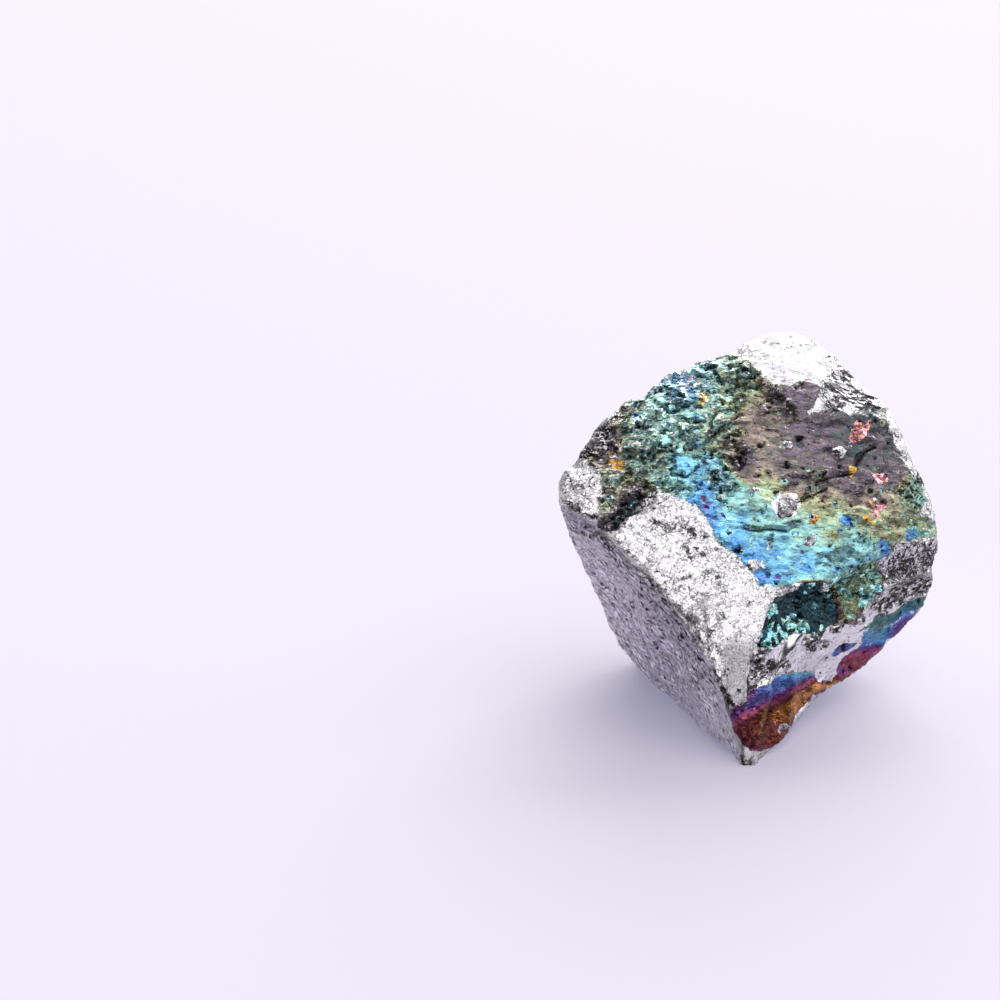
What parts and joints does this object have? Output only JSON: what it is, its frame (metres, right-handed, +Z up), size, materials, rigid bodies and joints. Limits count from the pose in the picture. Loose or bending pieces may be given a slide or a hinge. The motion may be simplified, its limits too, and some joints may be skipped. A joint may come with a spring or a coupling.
{
  "type": "ferromanganese lump",
  "caption": "Broken lump of ferromanganese with bright granular break faces and a heat-tinted film face, resting on its toe and heels.",
  "frame": {"origin": "middle of the bounding box on the plane the lump rests on", "axes": "+X to the right across the bright front face, +Y from the toe to the back, +Z up from the surface it rests on"},
  "size_m": [0.0764, 0.0736, 0.0677],
  "materials": {
    "metal": "bright granular break with a heat-tinted oxide film in parts"
  },
  "bodies": {
    "root": {"ferromanganese_lump": "metal"}
  },
  "joints": []
}
